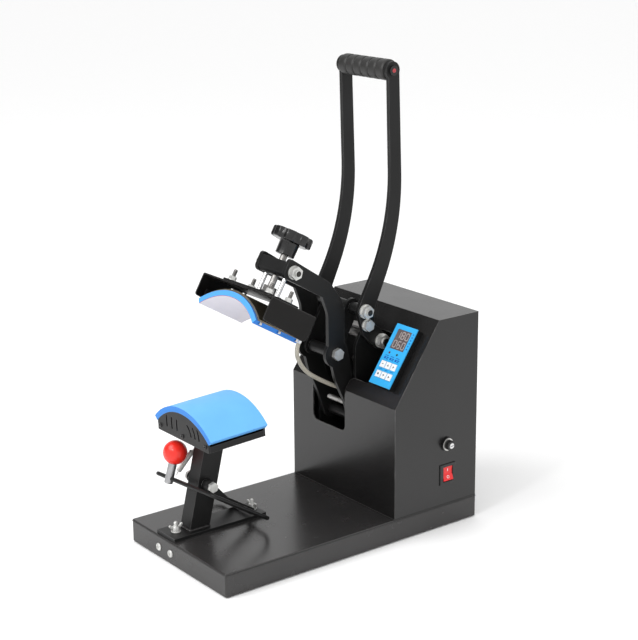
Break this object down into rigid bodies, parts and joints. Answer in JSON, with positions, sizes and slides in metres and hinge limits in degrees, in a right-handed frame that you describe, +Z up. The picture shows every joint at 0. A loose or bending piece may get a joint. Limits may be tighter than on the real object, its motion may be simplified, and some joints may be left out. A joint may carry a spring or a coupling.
{
  "type": "cap heat press",
  "caption": "Bench-top curved heat press for caps: lever-driven swing arm with a concave heated head over a curved silicone platen, on a steel base with a control housing.",
  "frame": {"origin": "centre of the rectangle of the base, at the level of the feet's lower faces", "axes": "+Z up, -Y towards the operator, +X to the operator's right"},
  "size_m": [0.251, 0.4544, 0.675],
  "materials": {
    "black_paint": "satin black powder coat",
    "zinc": "bright zinc plating",
    "chrome": "polished rod",
    "steel": "plain steel",
    "aluminium": "cast",
    "blue_silicone": "matte silicone sheet",
    "liner": "coated glass cloth",
    "rubber": "matte",
    "black_plastic": "moulded",
    "red_plastic": "gloss",
    "blue_film": "printed overlay",
    "white_plastic": "matte",
    "display": "tinted window",
    "board": "laminate",
    "sleeve": "braided glass sleeve"
  },
  "bodies": {
    "root": {"base_tray": "black_paint", "rubber_feet": "rubber", "housing_screws": "zinc", "housing_shell": "black_paint", "rear_cover": "black_paint", "frame_plate_left": "black_paint", "frame_plate_right": "black_paint", "frame_tubes": "black_paint", "arm_shaft": "steel", "handle_pivot_bolts": "zinc", "control_case": "black_plastic", "control_face": "blue_film", "display_window": "display", "circuit_board": "board", "transformer": "steel", "power_inlet": "black_plastic", "fuse_holder": "black_plastic", "rocker_frame": "black_plastic", "foot_plate": "black_paint", "wing_bolts": "zinc", "post": "black_paint", "platen_tray": "black_paint", "platen_cap_front": "black_paint", "platen_cap_rear": "black_paint", "platen_plate": "aluminium", "platen_pad": "blue_silicone", "platen_screws": "zinc", "clamp_bolt": "zinc", "clamp_spring": "zinc", "heater_lead": "sleeve"},
    "arm": {"arm_plate_left": "black_paint", "arm_plate_right": "black_paint", "arm_bolts": "zinc", "cross_channel": "black_paint"},
    "head": {"head_cover": "black_paint", "head_plate": "black_paint", "head_bracket": "black_paint", "head_nuts": "zinc", "guide_rods": "chrome", "heater_plate": "aluminium", "heater_mat": "blue_silicone", "heater_liner": "liner"},
    "knob": {"star_knob": "black_plastic", "pressure_screw": "steel"},
    "link": {"toggle_link": "black_paint"},
    "handle": {"handle_bar_left": "black_paint", "handle_bar_right": "black_paint", "handle_bolts": "zinc", "hand_grip": "rubber", "grip_rod": "steel"},
    "clamp": {"clamp_hoop": "black_paint", "clamp_lever": "steel", "ball_knob": "red_plastic"},
    "rocker": {"power_rocker": "red_plastic"},
    "button_1": {"button_1": "white_plastic"},
    "button_2": {"button_2": "white_plastic"},
    "button_3": {"button_3": "white_plastic"},
    "button_4": {"button_4": "white_plastic"},
    "button_5": {"button_5": "white_plastic"},
    "button_6": {"button_6": "white_plastic"}
  },
  "joints": [
    {"name": "handle_press", "type": "hinge", "parent": "root", "child": "handle", "pos_m": [-0.0324, 0.12, 0.271], "axis": [1, 0, 0], "range_deg": [0, 87.15]},
    {"name": "arm_close", "type": "hinge", "parent": "root", "child": "arm", "pos_m": [-0.0324, 0.0964, 0.14965], "axis": [1, 0, 0], "range_deg": [0, 33.05], "deforming": ["heater_lead"]},
    {"name": "link_swing", "type": "hinge", "parent": "arm", "child": "link", "pos_m": [-0.0324, 0.055, 0.258], "axis": [1, 0, 0], "range_deg": [-72.09, 0]},
    {"name": "head_height", "type": "slide", "parent": "arm", "child": "head", "axis": [0, 0.5075, 0.8616], "range_m": [0, 0.008]},
    {"name": "knob_turn", "type": "hinge", "parent": "head", "child": "knob", "pos_m": [-0.0324, -0.00965, 0.40861], "axis": [0, 0.5075, 0.8616], "range_deg": [0, 1440.5]},
    {"name": "clamp_swing", "type": "hinge", "parent": "root", "child": "clamp", "pos_m": [-0.0324, -0.16, 0.104], "axis": [1, 0, 0], "range_deg": [0, 40], "deforming": ["clamp_spring"]},
    {"name": "power_switch", "type": "hinge", "parent": "root", "child": "rocker", "pos_m": [0.115, 0.1665, 0.082], "axis": [0, 1, 0], "range_deg": [0, 16]},
    {"name": "press_button_1", "type": "slide", "parent": "root", "child": "button_1", "axis": [0, 0.8242, -0.5663], "range_m": [0, 0.0004], "stiffness_N_per_m": 500},
    {"name": "press_button_2", "type": "slide", "parent": "root", "child": "button_2", "axis": [0, 0.8242, -0.5663], "range_m": [0, 0.0004], "stiffness_N_per_m": 500},
    {"name": "press_button_3", "type": "slide", "parent": "root", "child": "button_3", "axis": [0, 0.8242, -0.5663], "range_m": [0, 0.0004], "stiffness_N_per_m": 500},
    {"name": "press_button_4", "type": "slide", "parent": "root", "child": "button_4", "axis": [0, 0.8242, -0.5663], "range_m": [0, 0.0004], "stiffness_N_per_m": 500},
    {"name": "press_button_5", "type": "slide", "parent": "root", "child": "button_5", "axis": [0, 0.8242, -0.5663], "range_m": [0, 0.0004], "stiffness_N_per_m": 500},
    {"name": "press_button_6", "type": "slide", "parent": "root", "child": "button_6", "axis": [0, 0.8242, -0.5663], "range_m": [0, 0.0004], "stiffness_N_per_m": 500}
  ],
  "couplings": [
    {"joint": "arm_close", "follows": "handle_press", "ratio": 0.37864},
    {"joint": "link_swing", "follows": "handle_press", "ratio": -0.82603},
    {"joint": "knob_turn", "follows": "head_height", "rad_per_m": 3141.6}
  ]
}
